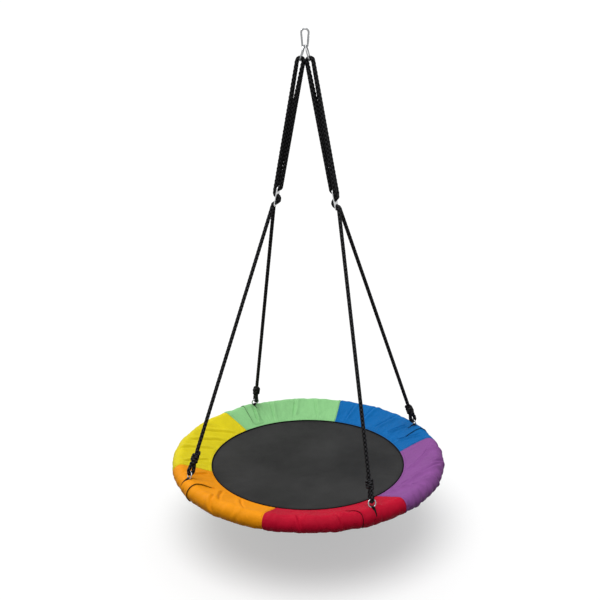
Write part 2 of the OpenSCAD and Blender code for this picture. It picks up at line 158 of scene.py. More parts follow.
def new_piece(name, points, faces, uv=None, closed=True):
    """A smooth-shaded mesh object; uv holds one pair for each point."""
    mesh = bpy.data.meshes.new(name)
    points = np.asarray(points, float).reshape(-1, 3)
    faces = [np.asarray(f, np.int32) for f in faces]
    if closed:
        faces = turned_out(points - points.mean(axis=0), faces)
    loops = np.concatenate([f.ravel() for f in faces])
    sizes = np.concatenate([np.full(len(f), f.shape[1], np.int32) for f in faces])
    starts = np.concatenate([[0], np.cumsum(sizes)[:-1]]).astype(np.int32)
    mesh.vertices.add(len(points))
    mesh.vertices.foreach_set("co", points.astype(np.float32).ravel())
    mesh.loops.add(len(loops))
    mesh.loops.foreach_set("vertex_index", loops)
    mesh.polygons.add(len(sizes))
    mesh.polygons.foreach_set("loop_start", starts)
    mesh.polygons.foreach_set("loop_total", sizes)
    mesh.polygons.foreach_set("use_smooth", np.ones(len(sizes), bool))
    mesh.update(calc_edges=True)
    if uv is not None:
        layer = mesh.uv_layers.new(name="metres")
        layer.data.foreach_set("uv", np.asarray(uv, np.float32).reshape(-1, 2)[loops].ravel())
    return linked(name, mesh)


def grid_faces(rows, cols, close_rows=False, close_cols=False):
    """Quads of a grid of points stored row by row."""
    r = np.arange(rows if close_rows else rows - 1)
    c = np.arange(cols if close_cols else cols - 1)
    r, c = np.meshgrid(r, c, indexing="ij")
    r, c = r.ravel(), c.ravel()
    r2, c2 = (r + 1) % rows, (c + 1) % cols
    return np.stack([r * cols + c, r * cols + c2, r2 * cols + c2, r2 * cols + c], axis=1)


def evaluated_mesh(shape):
    """The mesh that an object's curve or modifiers make."""
    depsgraph = bpy.context.evaluated_depsgraph_get()
    return bpy.data.meshes.new_from_object(shape.evaluated_get(depsgraph))


def thicken(piece, thickness):
    """Gives a sheet its thickness, inwards from its outer face."""
    solid = piece.modifiers.new("thickness", "SOLIDIFY")
    solid.thickness = thickness
    solid.offset = -1
    solid.use_rim = True
    mesh = evaluated_mesh(piece)
    piece.modifiers.clear()
    piece.data = mesh


def merge_close(piece, distance=0.02 * MM):
    work = bmesh.new()
    work.from_mesh(piece.data)
    bmesh.ops.remove_doubles(work, verts=work.verts, dist=distance)
    work.to_mesh(piece.data)
    work.free()


def joined(name, pieces):
    """Several mesh objects as one."""
    with bpy.context.temp_override(active_object=pieces[0], object=pieces[0],
                                   selected_objects=pieces, selected_editable_objects=pieces):
        bpy.ops.object.join()
    pieces[0].name = name
    return pieces[0]


# ---------- materials ----------
class Nodes:
    """The node tree of a material or a world, with short ways to add and link nodes."""

    def __init__(self, owner):
        owner.use_nodes = True
        self.tree = owner.node_tree

    def add(self, kind, settings=None, **inputs):
        """A new node; inputs go by their name, with _ for a space, or by their number after a _."""
        node = self.tree.nodes.new(kind)
        for key, value in (settings or {}).items():
            setattr(node, key, value)
        self.put(node, **inputs)
        return node

    def put(self, node, **inputs):
        for key, value in inputs.items():
            socket = node.inputs[int(key[1:]) if key[0] == "_" else key.replace("_", " ")]
            if isinstance(value, bpy.types.NodeSocket):
                self.tree.links.new(value, socket)
            else:
                socket.default_value = value

    def math(self, operation, a, b=0.0, c=0.0):
        return self.add("ShaderNodeMath", {"operation": operation}, _0=a, _1=b, _2=c).outputs[0]

    def place(self):
        """Where a point lies on its own piece."""
        return self.add("ShaderNodeTexCoord").outputs["Object"]

    def noise(self, scale, detail=3.0, roughness=0.55):
        return self.add("ShaderNodeTexNoise", Vector=self.place(), Scale=scale, Detail=detail,
                        Roughness=roughness).outputs[0]

    def ramp(self, factor, *stops):
        """A colour that goes from one stop's to the other's, each stop a place and a colour."""
        ramp = self.add("ShaderNodeValToRGB", Fac=factor)
        for element, (place, colour) in zip(ramp.color_ramp.elements, stops):
            element.position = place
            element.color = (*colour, 1)
        return ramp.outputs[0]

    def between(self, factor, low, high):
        """A colour between two, by a factor that runs from about 0.3 to 0.7, as noise does."""
        return self.ramp(factor, (0.3, low), (0.7, high))

    def level(self, factor, low, high):
        """A number between two, by the same kind of factor."""
        return self.add("ShaderNodeMapRange", _0=factor, _1=0.3, _2=0.7, _3=low, _4=high).outputs[0]


class Material(Nodes):
    def __init__(self, name, roughness, metallic=0.0):
        self.material = bpy.data.materials.new(name)
        super().__init__(self.material)
        self.shader = self.tree.nodes["Principled BSDF"]
        self.set(Roughness=roughness, Metallic=metallic)

    def set(self, **inputs):
        self.put(self.shader, **inputs)

    def bumps(self, *heights):
        """Bump nodes in a chain, each a height and its depth in metres."""
        normal = None
        for height, depth in heights:
            node = self.add("ShaderNodeBump", Height=height, Distance=depth, Strength=1.0)
            if normal is not None:
                self.put(node, Normal=normal)
            normal = node.outputs[0]
        self.set(Normal=normal)


def shade(colour, by):
    return tuple(min(1.0, c * by) for c in colour)


def cloth(name, colour, thread, depth, roughness, cloudiness=0.06, cloud_scale=9.0):
    """Woven cloth: plain weave of the given thread width, soft colour clouds, fine crumples."""
    n = Material(name, roughness)
    uv = n.add("ShaderNodeUVMap", {"uv_map": "metres"}).outputs[0]
    split = n.add("ShaderNodeSeparateXYZ", Vector=uv)
    warp, weft = [n.math("SINE", n.math("MULTIPLY", split.outputs[k], math.pi / thread)) for k in (0, 1)]
    weave = n.math("MULTIPLY", warp, weft)
    clouds = n.noise(cloud_scale, 4.0)
    speck = n.noise(420.0, 2.0, 0.7)
    mixed = n.add("ShaderNodeMix", {"data_type": "RGBA", "blend_type": "MULTIPLY"}, _0=1.0,
                  _6=n.between(clouds, shade(colour, 1 - cloudiness), shade(colour, 1 + cloudiness)),
                  _7=n.between(speck, (0.9, 0.9, 0.9), (1, 1, 1)))
    n.set(Base_Color=mixed.outputs[2], Specular_IOR_Level=0.08,
          Roughness=n.level(clouds, roughness - 0.05, roughness + 0.05))
    n.bumps((weave, depth), (n.noise(70.0, 4.0), 0.25 * MM), (speck, 0.05 * MM))
    return n.material


def metal(name, colour, roughness, grain, depth):
    """Plated or stamped steel: fine surface grain and uneven gloss."""
    n = Material(name, roughness, 1.0)
    n.set(Base_Color=n.between(n.noise(45.0, 4.0), shade(colour, 0.9), shade(colour, 1.06)),
          Roughness=n.level(n.noise(160.0, 3.0), roughness - 0.06, roughness + 0.08))
    n.bumps((n.noise(grain, 2.0), depth))
    return n.material


def powder_coat(name, colour):
    """Powder-coated tube: orange-peel surface with a low gloss."""
    n = Material(name, 0.42)
    n.set(Base_Color=n.between(n.noise(30.0), shade(colour, 0.92), shade(colour, 1.06)))
    n.bumps((n.noise(700.0, 1.0), 0.06 * MM))
    return n.material


def foam(name, colour):
    """Closed-cell foam: small pores and soft clouds."""
    n = Material(name, 0.85)
    pores = n.add("ShaderNodeTexVoronoi", Vector=n.place(), Scale=520.0).outputs[0]
    n.set(Base_Color=n.between(n.noise(60.0), shade(colour, 0.85), shade(colour, 1.1)))
    n.bumps((pores, 0.3 * MM), (n.noise(90.0), 0.4 * MM))
    return n.material


def braided(name, colour):
    """Braided rope: painted highlight on the strand crowns, painted shade in the valleys between strands, and
    yarns along each strand.
    """
    n = Material(name, 0.52)
    crown, across = [n.add("ShaderNodeAttribute", {"attribute_name": key}).outputs["Fac"]
                     for key in ("crown", "across")]
    yarns = n.math("SINE", n.math("MULTIPLY", across, 2 * math.pi * YARNS))
    fibres = n.math("MULTIPLY_ADD", n.noise(260.0), 0.5, -1.85)
    # Painted highlight and shade: the colour runs from near black in the valleys to light grey on the strand
    # crowns, by the braid's height
    lit = n.math("MULTIPLY_ADD", crown, 2.5, fibres)
    n.set(Base_Color=n.between(lit, shade(colour, 0.05), shade(colour, 3.4)), Specular_IOR_Level=0.05)
    n.bumps((yarns, 0.12 * MM), (n.noise(900.0, 2.0), 0.15 * MM))
    return n.material


COLOURS = {"purple": (0.26, 0.082, 0.30), "blue": (0.001, 0.135, 0.42), "green": (0.27, 0.60, 0.25),
           "yellow": (0.74, 0.62, 0.012), "orange": (0.88, 0.31, 0.004), "red": (0.50, 0.003, 0.026)}
BLACK = (0.012, 0.012, 0.013)

looks = {colour + "_fabric": cloth(colour + " oxford cloth", rgb, 0.8 * MM, 0.10 * MM, 0.56)
         for colour, rgb in COLOURS.items()}
looks["mat_fabric"] = cloth("dark grey mat cloth", (0.029, 0.029, 0.029), 1.5 * MM, 0.22 * MM, 0.66, 0.4, 4.0)
looks["hook_steel"] = metal("zinc-plated hook steel", (0.44, 0.45, 0.46), 0.24, 420.0, 0.02 * MM)
looks["ring_steel"] = metal("zinc-plated ring steel", (0.50, 0.51, 0.52), 0.22, 380.0, 0.02 * MM)
looks["plate_steel"] = metal("stamped plate steel", (0.86, 0.87, 0.88), 0.34, 650.0, 0.03 * MM)
looks["frame_steel"] = powder_coat("powder-coated frame tube", (0.05, 0.05, 0.052))
looks["foam"] = foam("closed-cell foam", BLACK)
looks["rope"] = braided("braided black rope", BLACK)
looks["webbing"] = cloth("black webbing", BLACK, 1.1 * MM, 0.25 * MM, 0.7)
looks["binding"] = cloth("black binding tape", (0.002, 0.002, 0.0022), 0.9 * MM, 0.15 * MM, 0.6)


def dress(piece, slot, body="seat", look=None):
    """Gives a piece the material of its slot, or of the look named instead, and puts it in its body if one is
    given.
    """
    piece.data.materials.clear()
    piece.data.materials.append(looks[look or slot])
    if body:
        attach(piece, body)
    return piece


# ---------- ropes: one braided rope on each side, from rim knot to rim knot ----------
# Sizes without MM are in millimetres here, as on_plate and rim_place take them
PLATE_X, PLATE_DROP, PLATE_TILT = 104.0, 557.0, math.radians(11.3)
PLATE_W, PLATE_L, PLATE_T, PLATE_CORNER, PLATE_EDGE = 38, 73, 3, 12, 0.9
SLOT_W, SLOT_H, SLOTS = 26, 15, (-24, 0, 24)
TOP_RING_X, TOP_TURN = 16.0, 12         # the top rings hang turned by 12 degrees about the hook
BIGHT_R = 10.2          # of a rope's bight over its top ring
RIM_RING_R, RIM_LOW_Z, RIM_TILT = 13.75, 31.6, math.radians(20)
EYE_R, EYE_LEN, KNOT_LEN = 8.8, 30.0, 40.0
WRAP_R, WRAP_ROPE_R, WRAP_PITCH, WRAPS = 8.5, 4.5, 8.9, 3.45
BEND = 3.4          # how far along the rope its bends are eased, in millimetres
STRANDS, LAY = 3, 14.5 * MM     # strands each way round the braid, and their distance along the rope
ROPE_STEP = 1.3 * MM
ROPE_SIDES = 32
BRAID_DEPTH = 4.4 * MM


def on_plate(out, y, up):
    """A place by the right-hand adjuster, in millimetres: out from its face, across it, and up its length."""
    c, s = math.cos(PLATE_TILT), math.sin(PLATE_TILT)
    return [PLATE_X + out * c - up * s, y, -PLATE_DROP + out * s + up * c]


def over_ring(y, start, end):
    """Half a turn over the top ring's lowest point, widened by what easing takes off it."""
    low = (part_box("top_ring_right")[0].z + TOP_RING_WIRE_R) / MM
    radius = BIGHT_R * math.exp(BEND ** 2 / 2 / BIGHT_R ** 2)
    angles = np.radians(np.linspace(start, end, 13))
    arc = [[TOP_RING_X + radius * math.cos(a), y, low - 0.9 + radius * math.sin(a)] for a in angles]
    return turn_z(arc, TOP_TURN).tolist()


def upper_route():
    front = [on_plate(8, -12.4, 26.5), on_plate(8, -12.4, 44)] + over_ring(-5.75, 0, 180)
    turn = [on_plate(*p) for p in ((-8, -1.2, 42), (-8, -1.2, 31.2), (-5.2, -1.2, 26.4), (0, -1.2, 24.6),
                                   (5.2, -1.2, 26.4), (8, -1.2, 31.2), (8, -1.2, 42))]
    back = over_ring(5.75, 180, 0) + [on_plate(8, 12.4, 44), on_plate(8, 12.4, 26.5)]
    return front + turn + back


WEAVE = ((8.3, -9, -40), (8, -6.7, -32), (5.8, -5.8, -27), (0, -5.8, -24), (-5.8, -5.8, -21), (-8, -5.8, -16),
         (-8, -5.8, -8), (-5.8, -5.8, -3), (0, -5.8, 0), (5.8, -6, 3), (8, -7.2, 8), (8, -10.4, 16),
         (8, -12.4, 21.5))


def weave_route(f):
    """Up through the adjuster's two lower holes; f is -1 for the front strand and 1 for the back one."""
    return [on_plate(out, -f * y, up) for out, y, up in WEAVE]


def rim_place(angle, p):
    """A place by a rim ring, in millimetres: out from the seat's middle, along the rim, and up."""
    return turn_z(np.array(p, float) + [RING_R / MM, 0, SEAT_Z / MM], angle)


def knot_axes(f):
    """The top of the rim ring, the rope's direction from it, and the two directions across the rope."""
    top = rim_place(f * 45, [-2 * RIM_RING_R * math.sin(RIM_TILT), 0,
                             RIM_LOW_Z + 2 * RIM_RING_R * math.cos(RIM_TILT)])
    up = unit(np.array(weave_route(f)[0]) - top)
    side = turn_z([math.cos(RIM_TILT), 0, math.sin(RIM_TILT)], f * 45)
    side = unit(side - (side @ up) * up)
    return top, up, side, np.cross(up, side)


def knot_route(f, seed):
    """From the rope above its knot through the knot, round the rim ring, and four times round itself.
    Each point is x, y, z and the rope's radius there, in millimetres; each seed's turns lie differently."""
    top, up, side, across = knot_axes(f)
    full, tight = ROPE_R / MM, 4.2
    high = EYE_LEN + KNOT_LEN

    def at(x, y, along, thick):
        return [*(top + x * side + y * across + along * up), thick]

    def round_it(radius, a, along, thick):
        return at(radius * math.cos(a), radius * math.sin(a), along, thick)

    route = [at(0, 0, high + 40, full), at(0, 0, high + 6, full), at(0, 0, high - 4, tight),
             at(0, 0, EYE_LEN + 5, tight), at(-3.5, 0, EYE_LEN - 1, 5.0), at(-5.9, 0, 24, full),
             at(-6.6, 0, 18, full), at(-9.0, 0, 8, full)]
    route += [at(-EYE_R * math.cos(a), 0, -EYE_R * math.sin(a) * 1.05, full)
              for a in np.radians(np.arange(0, 181, 20))]
    route += [at(9.0, 0, 8, full), at(6.8, 0, 18, full), at(7.0, 0, 25, 5.2), at(8.6, 0, EYE_LEN - 1, 4.9)]
    widen = math.exp(BEND ** 2 / 2 / WRAP_R ** 2)
    first = EYE_LEN + WRAP_ROPE_R
    for share in np.linspace(0.02, 1, 60):
        a = WRAPS * 2 * math.pi * share
        wander = float(noise(a / 2.1, seed, 4))
        radius = (WRAP_R - 0.7 + 1.3 * math.sin(math.pi * share) + 0.5 * wander) * widen
        along = first + WRAP_PITCH * WRAPS * share + float(noise(a / 1.7, seed, 8))
        route.append(round_it(radius, a, along, WRAP_ROPE_R + 0.3 * wander))
    last, a = first + WRAP_PITCH * WRAPS, WRAPS * 2 * math.pi + 0.3
    return route + [round_it(9.0, a, last + 5, 5.0), round_it(10.0, a + 0.15, last + 13, 5.2)]


def eased(route):
    """A route in even steps with its bends eased, in metres, and its radius as a fourth column."""
    p = np.array([list(q) + [ROPE_R / MM] * (4 - len(q)) for q in route]) * MM
    length = np.concatenate([[0], np.cumsum(np.linalg.norm(np.diff(p[:, :3], axis=0), axis=1))])
    places = np.linspace(0, length[-1], round(length[-1] / ROPE_STEP) + 1)
    q = np.stack([np.interp(places, length, p[:, k]) for k in range(4)], axis=1)
    bend = BEND * MM / ROPE_STEP
    reach = int(4 * bend)
    kernel = np.exp(-((np.arange(-reach, reach + 1) / bend) ** 2) / 2)
    kernel /= kernel.sum()
    before = 2 * q[0] - q[reach:0:-1]
    after = 2 * q[-1] - q[-2:-reach - 2:-1]
    q = np.concatenate([before, q, after])
    return np.stack([np.convolve(q[:, k], kernel, "valid") for k in range(4)], axis=1)


def carried_normals(tangents):
    """Normals along a path that turn no more than the path does."""
    normals = np.empty_like(tangents)
    n = np.array([0.0, 1.0, 0.0])
    for k, t in enumerate(tangents):
        n = n - (n @ t) * t
        n /= np.linalg.norm(n)
        normals[k] = n
    return normals


def braid(theta, along):
    """Height of a braid's surface from 0 to 1, and the place across the upper strand."""
    a = STRANDS * theta / 2 / np.pi + along / LAY
    b = STRANDS * theta / 2 / np.pi - along / LAY
    i, j = np.round(a), np.round(b)

    def strand(across, over):
        return 0.58 * np.sqrt(np.clip(1 - 3.7 * across ** 2, 0, 1)) + 0.21 * (1 + over)

    first = strand(a - i, np.cos(np.pi * (b + i)))
    second = strand(b - j, -np.cos(np.pi * (a + j)))
    return np.maximum(first, second), np.where(first > second, a - i, b - j)


def rope_piece(name, path):
    """A braided rope along a path of x, y, z and radius, with its two ends melted round."""
    centre, radius = path[:, :3], path[:, 3]
    tangents = unit(np.gradient(centre, axis=0))
    n = carried_normals(tangents)
    b = np.cross(tangents, n)
    along = np.arange(len(path)) * ROPE_STEP
    theta = circle(ROPE_SIDES)
    crown, across = braid(theta[None, :], along[:, None])
    end = np.minimum(along, along[::-1])
    close = np.sqrt(1 - (1 - np.clip(end / (4 * MM), 0, 1)) ** 2)
    relief = (crown - 0.62) * BRAID_DEPTH * ease(end / (6 * MM))[:, None]
    r = (radius[:, None] + relief) * np.maximum(close, 0.06)[:, None]
    points = (centre[:, None] + r[..., None] * (np.cos(theta)[None, :, None] * n[:, None]
                                                + np.sin(theta)[None, :, None] * b[:, None]))
    first = np.arange(ROPE_SIDES)[None]
    last = (len(path) - 1) * ROPE_SIDES + first[:, ::-1]
    piece = new_piece(name, points, [grid_faces(len(path), ROPE_SIDES, close_cols=True), first, last])
    for key, value in (("crown", crown), ("across", across)):
        layer = piece.data.attributes.new(key, "FLOAT", "POINT")
        layer.data.foreach_set("value", value.astype(np.float32).ravel())
    return piece


def make_rope(side, turn):
    """The rope of one side: the left one is the right one turned by half a turn."""
    seed = 2.5 if side == "right" else 6.5
    route = knot_route(-1, seed)[::-1] + weave_route(-1) + upper_route()
    route += weave_route(1)[::-1] + knot_route(1, seed + 2)
    path = eased(route)
    path[:, :3] = turn_z(path[:, :3], turn)
    piece = dress(rope_piece("rope_" + side, path), "rope", body=None)
    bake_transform(piece)
    for end in ("front", "back"):
        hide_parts(*(f"{node}_{end}_{side}" for node in ("lower_rope", "end_knot", "rope_eye")))
    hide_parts("upper_rope_" + side)
    return piece, path


ropes = {side: make_rope(side, turn) for side, turn in SIDES.items()}


# ---------- rope adjusters: stamped plates with three slots ----------
def slot_outline(up):
    """A slot with round ends, as points in the plate's plane."""
    r = SLOT_H / 2
    right = [(SLOT_W / 2 - r + r * math.cos(a), up + r * math.sin(a))
             for a in np.linspace(-math.pi / 2, math.pi / 2, 16)]
    return right + [(-x, y) for x, y in right[::-1]]


def plate_outline():
    points = []
    for k, (x, y) in enumerate(((1, 1), (-1, 1), (-1, -1), (1, -1))):
        for a in np.linspace(0, math.pi / 2, 10) + k * math.pi / 2:
            points.append((x * (PLATE_W / 2 - PLATE_CORNER) + PLATE_CORNER * math.cos(a),
                           y * (PLATE_L / 2 - PLATE_CORNER) + PLATE_CORNER * math.sin(a)))
    return points


def make_adjuster(side, turn):
    curve = bpy.data.curves.new("adjuster_plate_" + side, "CURVE")
    curve.dimensions = "2D"
    curve.fill_mode = "BOTH"
    curve.extrude = (PLATE_T / 2 - PLATE_EDGE) * MM
    curve.bevel_depth = PLATE_EDGE * MM
    curve.bevel_resolution = 3
    curve.offset = -PLATE_EDGE * MM
    for outline in [plate_outline()] + [slot_outline(up) for up in SLOTS]:
        spline = curve.splines.new("POLY")
        spline.points.add(len(outline) - 1)
        spline.points.foreach_set("co", np.array([(x * MM, y * MM, 0, 1) for x, y in outline]).ravel())
        spline.use_cyclic_u = True
    shape = linked("shape", curve)
    mesh = evaluated_mesh(shape)
    bpy.data.objects.remove(shape)
    p = np.zeros(len(mesh.vertices) * 3)
    mesh.vertices.foreach_get("co", p)
    placed = np.array([on_plate(out / MM, y / MM, up / MM) for y, up, out in p.reshape(-1, 3)]) * MM
    mesh.vertices.foreach_set("co", turn_z(placed, turn).astype(np.float32).ravel())
    mesh.polygons.foreach_set("use_smooth", np.ones(len(mesh.polygons), bool))
    piece = linked("adjuster_plate_" + side, mesh)
    merge_close(piece)
    mesh.set_sharp_from_angle(angle=math.radians(40))
    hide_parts("adjuster_" + side)
    dress(piece, "plate_steel")


for side, turn in SIDES.items():
    make_adjuster(side, turn)


# ---------- the cover's section: from the mat's upper edge round the tube to its lower edge ----------
def web(tip_z, up):
    """Direction and length of the straight stretch from a mat edge to the round part."""
    out = RING_R - MAT_R
    return (math.atan2(-tip_z, out) + up * math.asin(COVER_R / math.hypot(out, tip_z)),
            math.sqrt(out ** 2 + tip_z ** 2 - COVER_R ** 2))


HIGH_A, HIGH_L = web(MAT_EDGE_Z, 1)
LOW_A, LOW_L = web(MAT_EDGE_Z - MAT_T, -1)
ROUND_L = COVER_R * (math.pi + HIGH_A - LOW_A)
SECTION_L = HIGH_L + ROUND_L + LOW_L


def section(v):
    """Radius, height and outward normal at v along the section."""
    angle = math.pi / 2 + HIGH_A - (np.asarray(v, float) - HIGH_L) / COVER_R
    angle = np.clip(angle, LOW_A - math.pi / 2, HIGH_A + math.pi / 2)
    nr, nz = np.cos(angle), np.sin(angle)
    before, after = np.maximum(HIGH_L - v, 0), np.maximum(v - HIGH_L - ROUND_L, 0)
    r = RING_R + COVER_R * nr - before * math.cos(HIGH_A) - after * math.cos(LOW_A)
    z = COVER_R * nz - before * math.sin(HIGH_A) - after * math.sin(LOW_A)
    return r, z, nr, nz


def v_round(degrees):
    """v where the round part's normal stands at this angle above level."""
    return HIGH_L + COVER_R * (math.pi / 2 + HIGH_A - math.radians(degrees))


def v_inside(x):
    """v on the upper slope, x in from the crest."""
    return HIGH_L - (x + COVER_R * math.cos(math.pi / 2 + HIGH_A)) / math.cos(HIGH_A)


CREST_V = v_round(90)
SEAM_V = v_round(-52)          # lengthwise closing seam, low on the outer side
SLIT_FROM, SLIT_TO = v_inside(32 * MM), v_round(14)
HALF = math.radians(30) * RING_R - 0.15 * MM       # half a panel's length along the rim
CLOTH_STEP = 2.4 * MM


def slit_opening(v):
    """Half the width of a strap slit: wide round the strap and narrow towards its two ends."""
    ends = ease((v - SLIT_FROM) / (6 * MM)) * ease((SLIT_TO - v) / (6 * MM))
    return (2.2 * MM + 4.2 * MM * bump(v - CREST_V - 3 * MM, 13 * MM)) * ends


def fold(u, v, u0, v0, u1, v1, width, height):
    """A soft fold along a line, with a crease on one side, all in millimetres."""
    du, dv = u1 - u0, v1 - v0
    length = math.hypot(du, dv)
    t = ((u - u0) * du + (v - v0) * dv) / length ** 2
    d = ((u - u0) * dv - (v - v0) * du) / length
    ends = ease(t / 0.25) * ease((1 - t) / 0.25)
    return 2.6 * height * ends * (1.1 * bump(d, 1.3 * width) - 1.5 * bump(d - 1.1 * width, 0.6 * width))


# Each panel's own look: how strong its outer gathers are, and its folds, each with its start, end, width and
# height, in millimetres along the rim from the panel's middle and along the section from the mat
GATHERS = {"purple": 6.2, "blue": 1.8, "green": 1.2, "yellow": 1.4, "orange": 1.6, "red": 1.9}
FOLDS = {
    "purple": [(-235, 6, -60, 140, 8, 2.8), (-215, 2, 0, 100, 7, 2.4), (-130, 10, 60, 160, 8, 2.8),
               (-165, 40, -125, 138, 8, 2.2), (-40, 30, 90, 175, 8, 2.6), (20, 10, 200, 130, 7, 2.2),
               (-70, 95, -30, 200, 9, 2.2), (60, 100, 110, 200, 8, 2.0), (150, 90, 190, 190, 8, 1.8)],
    "blue": [(-150, 12, -215, 120, 7, 2.0), (-60, 18, -108, 110, 8, 2.2), (20, 14, -30, 125, 9, 1.4),
             (110, 30, 80, 160, 9, 1.2), (190, 20, 170, 130, 7, 1.0)],
    "green": [(-40, 20, -70, 140, 9, 1.6), (60, 16, 40, 130, 8, 1.4), (150, 20, 120, 120, 7, 1.8),
              (-160, 24, -140, 140, 9, 1.2)],
    "yellow": [(-200, 6, -50, 120, 9, 1.2), (-100, 4, 40, 125, 9, 1.3), (10, 10, 130, 160, 10, 1.0),
               (120, 8, 215, 120, 8, 1.3), (-140, 70, -90, 180, 9, 0.9)],
    "orange": [(-50, 20, 70, 140, 10, 1.1), (60, 10, 170, 130, 9, 1.2), (-215, 20, -170, 120, 7, 1.2),
               (10, 100, 60, 190, 9, 1.4)],
    "red": [(-180, 20, -80, 120, 8, 1.6), (-70, 14, 30, 130, 8, 1.8), (90, 30, 160, 130, 8, 2.0),
            (170, 10, 215, 110, 7, 2.2), (-150, 100, -120, 195, 8, 1.6), (-20, 100, 10, 195, 8, 1.4)],
}


def slit_at(colour):
    """Place of a panel's strap slit along it, or None."""
    for angle in CORNERS.values():
        off = (angle - PANELS[colour] + 180) % 360 - 180
        if abs(off) < 30:
            return math.radians(off) * RING_R
    return None


def relief(colour, u, v):
    """How far the cloth stands off its plain section: folds, gathers, seams and hems, all in millimetres."""
    u, v = u / MM, v / MM
    seed = PANELS[colour] / 60 + 1
    from_seam = HALF / MM - np.abs(u)
    from_low = SECTION_L / MM - v
    # crumples, large to small, which stop short of the mat
    loose = ease(v / 18) * ease(from_low / 18)
    drift = 7 * noise(u / 60, v / 90, seed)
    h = 1.7 * noise((u + drift) / 36, v / 120, seed + 11) * loose
    h += 0.9 * noise((u + 2 * drift) / 15, v / 48, seed + 23) * loose
    h += 0.7 * noise((u + v + 3 * drift) / 22, (v - u) / 70, seed + 29) * loose
    h += 0.25 * noise(u / 6, v / 9, seed + 31)
    # gathers and puckers round the outer side
    wave = np.abs(np.sin(np.pi * (u + 1.4 * drift) / 36 + seed))
    outer = bump(v - v_round(-12) / MM, 36) * (0.75 + 0.35 * noise(u / 70, seed, 9))
    h += GATHERS[colour] * (wave ** 0.6 - 0.55) * outer
    pucker = noise((u + 2 * drift) / 9, v / 42, seed + 41)
    h += 1.3 * pucker * bump(v - v_round(-24) / MM, 36)
    # the seams to the next panels
    small = np.sin(2 * np.pi * (v + 3 * noise(v / 20, seed, 5)) / 13 + seed)
    h += 0.5 * small * np.exp(-from_seam / 12) * (1 - bump(from_seam, 2.2))
    h += 0.35 * bump(from_seam - 6, 3) - 1.7 * bump(from_seam, 2.4)
    # the hems along the mat, and the closing seam
    ripple = np.sin(2 * np.pi * (u + drift) / 14 + 2 * noise(u / 50, seed, 7))
    for w in (v, from_low):
        h += 0.35 * ripple * bump(w - 16, 12) + 0.8 * ease((10.5 - w) / 1.6)
    past_seam = v - SEAM_V / MM
    h += 0.9 * ease((past_seam + 9) / 7) * ease(-past_seam / 0.8)
    for line in FOLDS[colour]:
        h += fold(u, v, *line)
    slit = slit_at(colour)
    if slit is not None:
        d = np.abs(u - slit / MM)
        reach = ease((v - SLIT_FROM / MM) / 8 + 1) * ease((SLIT_TO / MM - v) / 8 + 1)
        h += reach * (0.8 * ease((9 - d) / 2) + 1.2 * bump(d, 14))
    # nowhere deeper than the padding gives way
    floor = -1.7
    for w, length in ((v, HIGH_L / MM), (from_low, LOW_L / MM)):
        floor = floor - 4.3 * ease((w - 22) / 30) * ease((length - 6 - w) / 14)
    return np.where(h > floor, h, floor - 0.3 * (1 - np.exp((h - floor) / 0.3)))


# Seams that don't run straight: how far each bows in the middle of its upper side, and strays at the rim
SEAM_BENDS = {30: (9, 0), 90: (0, 10), 150: (2, 12), 210: (-3, 2), 330: (4, -3)}


def seam_shift(angle, v):
    bow, stray = SEAM_BENDS.get(angle % 360, (0, 0))
    share = np.clip(v / v_round(0), 0, 1)
    back = ease((SECTION_L - v) / (90 * MM))
    return (bow * np.sin(np.pi * share) + stray * ease(share) * back) * MM


def cover_place(colour, u, v, lift=0.0):
    """Places and normals on a panel, u along it and v along its section."""
    slit = slit_at(colour)
    shifted = np.array(np.broadcast_arrays(u, v)[0], float)
    if slit is not None:
        away = shifted - slit
        side = np.where(away >= 0, 1.0, -1.0)
        shifted = shifted + side * slit_opening(v) * np.exp(-np.abs(away) / (11 * MM))
    share = np.clip((u + HALF) / 2 / HALF, 0, 1)
    shifted = shifted + (1 - share) ** 3 * seam_shift(PANELS[colour] - 30, v)
    shifted = shifted + share ** 3 * seam_shift(PANELS[colour] + 30, v)
    r, z, nr, nz = section(v)
    off = relief(colour, u, v) * MM + lift
    degrees = PANELS[colour] + np.degrees(shifted / RING_R)
    point = stacked(r + nr * off, 0 * u, SEAT_Z + z + nz * off)
    return turn_z(point, degrees), turn_z(stacked(nr, 0 * u, nz), degrees)


def cover_part(colour, u_places, v_places, slit_side=0):
    """One sheet of a panel; at the slit, slit_side says on which side of it the sheet lies."""
    u, v = np.meshgrid(u_places, v_places)
    u = u + slit_side * 1e-9
    points, _ = cover_place(colour, u, v)
    return new_piece("part", points, [grid_faces(*u.shape)[:, ::-1]], stacked(u, v), closed=False)


def make_panel(colour):
    slit = slit_at(colour)
    seams = [0, SECTION_L, SEAM_V, SEAM_V - 8 * MM, 10 * MM, SECTION_L - 10 * MM]
    v_places = steps(0, SECTION_L, CLOTH_STEP, 0.9 * MM, seams, 5 * MM)
    if slit is None:
        piece = cover_part(colour, steps(-HALF, HALF, CLOTH_STEP, 1.0 * MM, [-HALF, HALF]), v_places)
    else:
        left = steps(-HALF, slit, CLOTH_STEP, 0.9 * MM, [-HALF, slit])
        right = steps(slit, HALF, CLOTH_STEP, 0.9 * MM, [slit, HALF])
        parts = [cover_part(colour, left, v_places, -1), cover_part(colour, right, v_places, 1)]
        piece = joined("part", parts)
        merge_close(piece)
    piece.name = "cover_cloth_" + colour
    piece.data.name = piece.name
    thicken(piece, CLOTH_T)
    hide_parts("cover_" + colour)
    dress(piece, colour + "_fabric")


# ---------- foam sleeves: four quarter tubes, each slit along its inner side and glued ----------
def tube_line(radius, start, end, count):
    """Part of a circle in the tube's section, counted from its inner side."""
    a = np.linspace(start, end, count)
    return np.stack([-radius * np.cos(a), -radius * np.sin(a)], axis=1)


